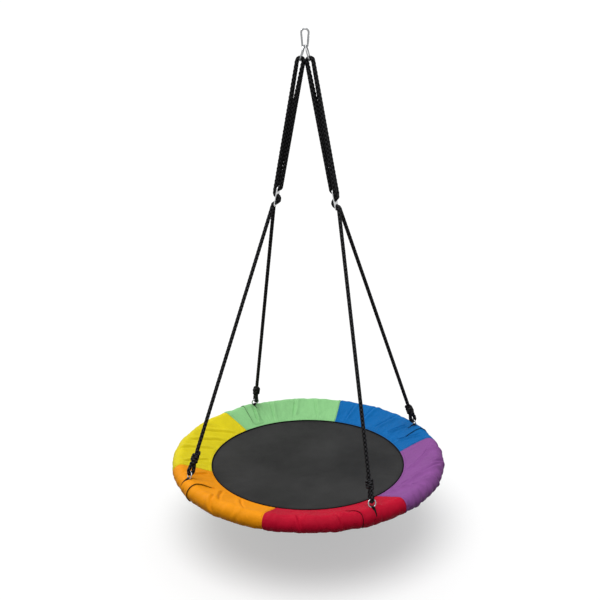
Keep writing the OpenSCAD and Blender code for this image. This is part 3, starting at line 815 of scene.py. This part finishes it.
def make_foam(corner):
    arc = np.radians(np.linspace(CORNERS[corner] - 44.9, CORNERS[corner] + 44.9, 181))
    outer = tube_line(FOAM_OUT, 0.05, 2 * math.pi - 0.05, 60)
    glue_line = [(2.2 * MM - FOAM_OUT, 0.0)]
    ring = np.concatenate([outer, glue_line, tube_line(FOAM_IN, 2 * math.pi - 0.02, 0.02, 40)])
    count = len(outer) + 1
    points = []
    for k, a in enumerate(arc):
        end = min(k, len(arc) - 1 - k)
        wave = 1 + 0.006 * float(noise(k / 9, corner_seed(corner), 3))
        scale = np.where(np.arange(len(ring)) < count, (1 - 0.05 * math.exp(-end / 1.2)) * wave, 1.0)
        x, z = ring[:, 0] * scale, ring[:, 1] * scale
        points.append(np.stack([(RING_R + x) * math.cos(a), (RING_R + x) * math.sin(a), SEAT_Z + z], axis=1))
    rows, cols = len(arc), len(ring)
    faces = [grid_faces(rows, cols, close_cols=True), foam_cap(count, cols, 0),
             foam_cap(count, cols, (rows - 1) * cols)[:, ::-1]]
    piece = new_piece("foam_" + corner, np.concatenate(points), faces)
    merge_close(piece, 0.001 * MM)
    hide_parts("foam_sleeve_" + corner)
    dress(piece, "foam")


def foam_cap(count, cols, start):
    """Triangles that close a sleeve's end between its outer and inner line."""
    outer, inner = np.arange(count), np.arange(count, cols)[::-1]
    triangles, i, j = [], 0, 0
    while i < len(outer) - 1 or j < len(inner) - 1:
        if j == len(inner) - 1 or (i < len(outer) - 1 and i * len(inner) <= j * len(outer)):
            triangles.append((outer[i], outer[i + 1], inner[j]))
            i += 1
        else:
            triangles.append((outer[i], inner[j + 1], inner[j]))
            j += 1
    return start + np.array(triangles)


for corner in CORNERS:
    make_foam(corner)
for colour in PANELS:
    make_panel(colour)


# ---------- stitching: rows of short threads that arch over the cloth ----------
THREAD_R, THREAD_SIDES = 0.33 * MM, 5
# Places along a stitch as shares of its step, and how far it stands off the cloth there
STITCH_AT, STITCH_RISE = (0.08, 0.3, 0.62, 0.84), (-0.3, 0.28, 0.28, -0.3)
STITCH, SIDE_STITCH = 3.6 * MM, 3.4 * MM


def stitches(place, count):
    """Threads at count steps; place(t) gives places and normals for t from 0 to count."""
    points, normals = place(np.arange(count)[:, None] + np.array(STITCH_AT))
    points = points + normals * np.array(STITCH_RISE)[:, None] * MM
    along = unit(np.gradient(points, axis=1))
    across = unit(np.cross(normals, along))
    lift = np.cross(along, across)
    angle = circle(THREAD_SIDES)[:, None]
    ring = (np.cos(angle) * across[:, :, None] + np.sin(angle) * lift[:, :, None]) * THREAD_R
    verts = (points[:, :, None] + ring).reshape(-1, 3)
    size = len(STITCH_AT) * THREAD_SIDES
    starts = np.arange(count)[:, None] * size
    quads = (starts[:, None] + grid_faces(len(STITCH_AT), THREAD_SIDES, close_cols=True)).reshape(-1, 4)
    end = np.arange(THREAD_SIDES)
    return verts, quads, np.concatenate([starts + end[::-1], starts + size - THREAD_SIDES + end])


def stitched(name, rows, slot, look=None):
    """All rows of stitches of one piece of cloth as one piece."""
    verts, faces, start = [], [], 0
    for place, count in rows:
        points, *parts = stitches(place, count)
        verts.append(points)
        faces += [part + start for part in parts]
        start += len(points)
    verts = np.concatenate(verts)
    dress(new_piece(name, verts, faces, verts[:, :2]), slot, look=look)


def row_along(colour, v):
    start, end = -HALF + 2 * MM, HALF - 2 * MM
    return (lambda t: cover_place(colour, start + t * STITCH, v + 0 * t)), int((end - start) / STITCH)


def row_across(colour, u, start, end):
    return ((lambda t: cover_place(colour, u + 0 * t, start + t * SIDE_STITCH)),
            int((end - start) / SIDE_STITCH))


for colour in PANELS:
    hem = 8.6 * MM
    rows = [row_along(colour, v) for v in (hem, SECTION_L - hem, SEAM_V - 3 * MM, SEAM_V - 7.5 * MM)]
    rows += [row_across(colour, u, 3 * MM, SECTION_L - 3 * MM) for u in (5 * MM - HALF, HALF - 5 * MM)]
    slit = slit_at(colour)
    if slit is not None:
        rows += [row_across(colour, slit + off, SLIT_FROM - 4 * MM, SLIT_TO + 4 * MM)
                 for off in (-4.2 * MM, 4.2 * MM)]
    thread = shade(COLOURS[colour], 0.72)
    looks["thread_" + colour] = cloth(colour + " thread", thread, 0.5 * MM, 0.03 * MM, 0.5)
    stitched("stitching_" + colour, rows, colour + "_fabric", "thread_" + colour)


# ---------- flaps of cover cloth beside the slits ----------
# Each flap's colour, the way it lies from its slit, how far its hem runs from the slit, the place in from the
# crest where the hem begins to slant away and by how much, where it ends, and how far its hem stands off
FLAPS = {"front_left": ("orange", 1, 50, -30, 0.8, 68, 3.4),
         "front_right": ("red", -1, 45, 10, 0.95, 42, 2.0),
         "back_left": ("green", 1, 43, -10, 0.2, 100, 1.2),
         "back_right": ("blue", -1, 41, -44, 0.15, 84, 2.6)}
FLAP_NEAR = 6.4 * MM
FLAP_TO = v_round(-56)
FLAP_CORNER_R = 14 * MM


def flap_from(corner):
    return v_inside(FLAPS[corner][5] * MM)


def flap_edge(corner, v):
    """How far a flap reaches from its slit: slanted on the mat's side, with a rounded inner corner."""
    _, _, edge_at, knee, slant, _, _ = FLAPS[corner]
    past = knee * MM - (section(v)[0] - RING_R)
    reach = edge_at * MM + slant * (past + np.sqrt(past ** 2 + (9 * MM) ** 2)) / 2
    left = FLAP_CORNER_R - np.clip(v - flap_from(corner), 0, FLAP_CORNER_R)
    return reach - FLAP_CORNER_R + np.sqrt(np.maximum(FLAP_CORNER_R ** 2 - left ** 2, 0))


def flap_place(corner, out, v, lower=0.0):
    """Places on a flap, out from its slit; its hem stands a little off the cover."""
    colour, toward = FLAPS[corner][:2]
    stand = FLAPS[corner][6] * MM * ease((v - flap_from(corner)) / (40 * MM))
    from_hem = flap_edge(corner, v) - out
    seed = corner_seed(corner)
    lift = 1.35 * MM + 0.5 * MM * ease((6.5 * MM - from_hem) / (1.5 * MM)) - lower
    lift = lift + stand * (0.75 + 0.25 * noise(v / (30 * MM), seed, 51)) * np.exp(-from_hem / (13 * MM))
    lift = lift + 0.4 * MM * noise(v / (34 * MM), out / (30 * MM) + seed, 41)
    lift = lift - 0.9 * MM * bump(out - FLAP_NEAR, 2.5 * MM)
    return cover_place(colour, slit_at(colour) + toward * out, v, np.maximum(lift, 0.15 * MM))


def flap_sheet(name, corner, out, v, thickness, lower=0.0):
    points, _ = flap_place(corner, out, v, lower)
    faces = grid_faces(*out.shape)
    toward = FLAPS[corner][1]
    piece = new_piece(name, points, [faces[:, ::-1] if toward > 0 else faces], stacked(out, v), closed=False)
    thicken(piece, thickness)
    return piece


def make_flap(corner):
    colour, stand = FLAPS[corner][0], FLAPS[corner][6] * MM
    start = flap_from(corner)
    length = FLAP_TO - start
    share, v = np.meshgrid(np.concatenate([np.linspace(0, 0.8, 24), np.linspace(0.82, 1, 16)]),
                           steps(start, FLAP_TO, 2.2 * MM, 0.9 * MM, [start, FLAP_TO]))
    edge = np.maximum(flap_edge(corner, v), FLAP_NEAR + 3 * MM)
    piece = flap_sheet("flap_cloth_" + corner, corner, FLAP_NEAR + share * (edge - FLAP_NEAR), v, 1.0 * MM)
    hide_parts("cover_flap_" + corner)
    dress(piece, colour + "_fabric")

    # Painted shade: a black strip of the binding tape's cloth lies under the flap's hem and reaches a little
    # past it, to darken the gap under the hem
    band, v = np.meshgrid(np.linspace(-9 * MM, 0.75 * stand, 12),
                          steps(start + 14 * MM, FLAP_TO - MM, CLOTH_STEP))
    out = flap_edge(corner, v) + band
    shade_strip = flap_sheet("flap_shade_strip_" + corner, corner, out, v, 0.9 * MM, 1.15 * MM)
    dress(shade_strip, "webbing", look="binding")

    def hem(t):
        v = start + 3 * MM + t * SIDE_STITCH
        return flap_place(corner, flap_edge(corner, v) - 4.8 * MM, v)

    stitched("flap_stitching_" + corner, [(hem, int((length - 6 * MM) / SIDE_STITCH))], colour + "_fabric",
             "thread_" + colour)


for corner in FLAPS:
    make_flap(corner)


# ---------- mat ----------
MAT_REACH = MAT_R + 9 * MM       # its edge is sewn in between the cover's two layers
MAT_ROWS = (7 * MM, 13 * MM)     # its two rows of stitches, in from its visible edge
AROUND = 540                     # points round the mat and its binding


def mat_place(r, degrees, under=False):
    """Places and normals on the mat's upper or lower face."""
    a = np.radians(degrees)
    x, y, inset = r * np.cos(a), r * np.sin(a), (MAT_R - r) / MM
    soft = ease(inset / 60)
    pull = sum(bump((degrees - corner + 180) % 360 - 180, 24.0) for corner in CORNERS.values())
    # unevenness, pulls towards the straps, ripples at the edge and rows of stitches, in millimetres
    h = 0.9 * noise(x / (90 * MM), y / (70 * MM), 3) * soft
    h = h + 0.35 * noise(x / (26 * MM), y / (30 * MM), 9) * soft
    h = h + 1.1 * noise(degrees / 5.5, r / (160 * MM), 17) * bump(r - 0.31, 0.05) * (0.35 + pull)
    h = h + 0.25 * np.sin(a * 150) * bump(inset - 8, 7)
    for row in MAT_ROWS:
        h = h - 0.5 * bump(inset - row / MM, 1.3)
    z = MAT_EDGE_Z - MAT_SAG * (1 - (r / MAT_R) ** 2) + h * MM
    hem_z = -1.2 * MM
    if under:
        z, hem_z = z - MAT_T, 1.2 * MM - MAT_T
    z = np.where(r > MAT_R - 1.5 * MM, MAT_EDGE_Z + hem_z, z)
    point = stacked(x, y, SEAT_Z + z)
    return point, np.broadcast_to([0.0, 0.0, -1.0 if under else 1.0], point.shape)


def make_mat():
    hem_places = [MAT_R - inset for inset in (1.5 * MM, *MAT_ROWS)]
    rings = steps(4 * MM, MAT_REACH, 5 * MM, 0.9 * MM, hem_places, 4 * MM)
    r, degrees = np.meshgrid(rings, np.arange(AROUND) * 360 / AROUND, indexing="ij")
    points = np.concatenate([mat_place(r, degrees, under)[0].reshape(-1, 3) for under in (False, True)])
    half = len(rings) * AROUND
    ring = np.arange(AROUND)
    edge = half - AROUND + ring
    edge_after = half - AROUND + (ring + 1) % AROUND
    top = grid_faces(len(rings), AROUND, close_cols=True)
    faces = [top[:, ::-1], top + half, np.stack([edge, edge + half, edge_after + half, edge_after], axis=1),
             ring[None, :], half + ring[None, ::-1]]
    piece = new_piece("mat_cloth", points, faces, points[:, :2])
    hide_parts("seat_mat")
    dress(piece, "mat_fabric")


def mat_row(inset, under):
    r = MAT_R - inset
    count = round(2 * math.pi * r / STITCH)
    return (lambda t: mat_place(r + 0 * t, t * 360 / count, under)), count


make_mat()
stitched("mat_stitching", [mat_row(inset, under) for inset in MAT_ROWS for under in (False, True)],
         "mat_fabric")


def make_binding(name, height):
    """Black binding rolled round the line where the mat meets the cover."""
    sides, r = 12, 2.8 * MM
    a, b = circle(AROUND)[:, None], circle(sides)
    wobble = r * (1 + 0.06 * noise(np.arange(AROUND) / 7, 0.5, 2))[:, None]
    out = MAT_R - 1.4 * MM + wobble * np.cos(b)
    points = stacked(out * np.cos(a), out * np.sin(a), SEAT_Z + height + wobble * np.sin(b))
    piece = new_piece(name, points, [grid_faces(AROUND, sides, True, True)], stacked(b * r, a * MAT_R))
    dress(piece, "mat_fabric", look="binding")


make_binding("binding_upper", MAT_EDGE_Z + 0.9 * MM)
make_binding("binding_lower", MAT_EDGE_Z - MAT_T + 0.1 * MM)


# ---------- straps that hold the rim rings ----------
STRAP_W, STRAP_T, STRAP_RIBS = 10 * MM, 1.3 * MM, 9
# A strap's two loops, round the tube and round the rim ring: radius, height and count of points
STRAP_LOOPS = ((26.4, 0.0, 120), (4.3, 31.4, 48))


def ribbon(centre, across, outward):
    """A woven band along a closed path, with lengthwise ribs on each face and rounded edges."""
    x = np.linspace(-1, 1, STRAP_RIBS * 4 + 1)
    ribs = 0.86 + 0.14 * np.abs(np.sin(math.pi * STRAP_RIBS * (x + 1) / 2))
    half = np.stack([x * STRAP_W / 2, np.sqrt(1 - np.abs(x) ** 8) * ribs * STRAP_T / 2], axis=1)
    p = np.concatenate([half, half[-2:0:-1] * [1, -1]])
    points = centre[:, None] + p[:, :1] * across[:, None] + p[:, 1:] * outward[:, None]
    along = np.arange(len(centre))[:, None] * np.linalg.norm(centre[1] - centre[0])
    faces = grid_faces(len(centre), len(p), close_rows=True, close_cols=True)
    return new_piece("band", points, [faces], stacked(p[:, 0], along))


def make_strap(corner):
    angle = CORNERS[corner]
    parts = []
    for radius, height, count in STRAP_LOOPS:
        a = circle(count)
        centre = rim_place(angle, stacked(radius * np.cos(a), 0, height + radius * np.sin(a))) * MM
        outward = turn_z(stacked(np.cos(a), 0, np.sin(a)), angle)
        parts.append(ribbon(centre, turn_z(stacked(0 * a, 1, 0), angle), outward))
    piece = joined("strap_" + corner, parts)
    piece.data.name = piece.name
    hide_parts("ring_strap_" + corner)
    dress(piece, "webbing")


for corner in CORNERS:
    make_strap(corner)


# ---------- materials of the carried-over CAD nodes ----------
slots = {row["node"]: row["material_slot"] for row in frame["record"]["subparts"]}
for name, node in frame["nodes"].items():
    if not node.hide_render:
        node.data.materials.clear()
        node.data.materials.append(looks[slots[name]])


# ---------- floor, light and camera ----------
def make_floor():
    """A wide white floor under the seat that takes its shadow, lights nothing and is seen only from above."""
    size = 60.0
    corners = [(x * size, y * size, SEAT_Z - 0.30) for x, y in ((-1, -1), (1, -1), (1, 1), (-1, 1))]
    floor = new_piece("floor", corners, [np.array([[0, 1, 2, 3]])], closed=False)
    n = Material("white floor", 1.0)
    n.set(Base_Color=(0.61, 0.61, 0.61, 1), Specular_IOR_Level=0.0, Emission_Color=(1, 1, 1, 1),
          Emission_Strength=0.325)
    clear = n.add("ShaderNodeBsdfTransparent").outputs[0]
    back = n.add("ShaderNodeNewGeometry").outputs["Backfacing"]
    mixed = n.add("ShaderNodeMixShader", _0=back, _1=n.shader.outputs[0], _2=clear)
    n.put(n.tree.nodes["Material Output"], Surface=mixed.outputs[0])
    floor.data.materials.append(n.material)
    floor.visible_diffuse = False
    floor.visible_glossy = False


def make_world():
    """White behind the object, light grey in reflections, and a sky that lights mostly from overhead."""
    world = bpy.data.worlds.new("studio")
    bpy.context.scene.world = world
    n = Nodes(world)
    place = n.add("ShaderNodeTexCoord").outputs["Generated"]
    up = n.add("ShaderNodeSeparateXYZ", Vector=place).outputs[2]
    sky = n.tree.nodes["Background"]
    n.put(sky, Color=n.ramp(up, (0.0, (0.16, 0.16, 0.16)), (0.9, (1, 1, 1))), Strength=0.62)
    ray, shown = n.add("ShaderNodeLightPath"), sky.outputs[0]
    for seen_by, strength in (("Is Glossy Ray", 0.7), ("Is Camera Ray", 1.0)):
        white = n.add("ShaderNodeBackground", Color=(1, 1, 1, 1), Strength=strength).outputs[0]
        shown = n.add("ShaderNodeMixShader", _0=ray.outputs[seen_by], _1=shown, _2=white).outputs[0]
    n.put(n.tree.nodes["World Output"], Surface=shown)


def make_sun(name, strength, azimuth, elevation, angle, shadows=True):
    """A soft light from far away; azimuth 0 is the front, and 90 the right."""
    data = bpy.data.lights.new(name, "SUN")
    data.energy = strength
    data.angle = math.radians(angle)
    data.use_shadow = shadows
    linked(name, data).rotation_euler = Euler((math.radians(90 - elevation), 0, math.radians(azimuth)))


def make_camera():
    """The photograph's view: heading, tilt and roll in degrees, and the place relative to the origin."""
    data = bpy.data.cameras.new("camera")
    data.lens, data.sensor_width = 62.1, 36.0
    data.clip_start, data.clip_end = 0.05, 200.0
    camera = linked("camera", data)
    heading, tilt, roll = 18.22, -18.50, -0.49
    turn = Euler((math.radians(90 + tilt), 0, math.radians(heading))).to_matrix()
    turn = turn @ Euler((0, 0, math.radians(roll))).to_matrix()
    camera.rotation_euler = turn.to_euler()
    camera.location = (1.061, -3.298, 0.234)
    bpy.context.scene.camera = camera


make_floor()
make_world()
make_sun("key light", 1.8, azimuth=0, elevation=70, angle=46)
make_sun("fold light", 1.0, azimuth=-120, elevation=32, angle=8, shadows=False)
make_camera()
bpy.context.scene.view_settings.view_transform = "Standard"
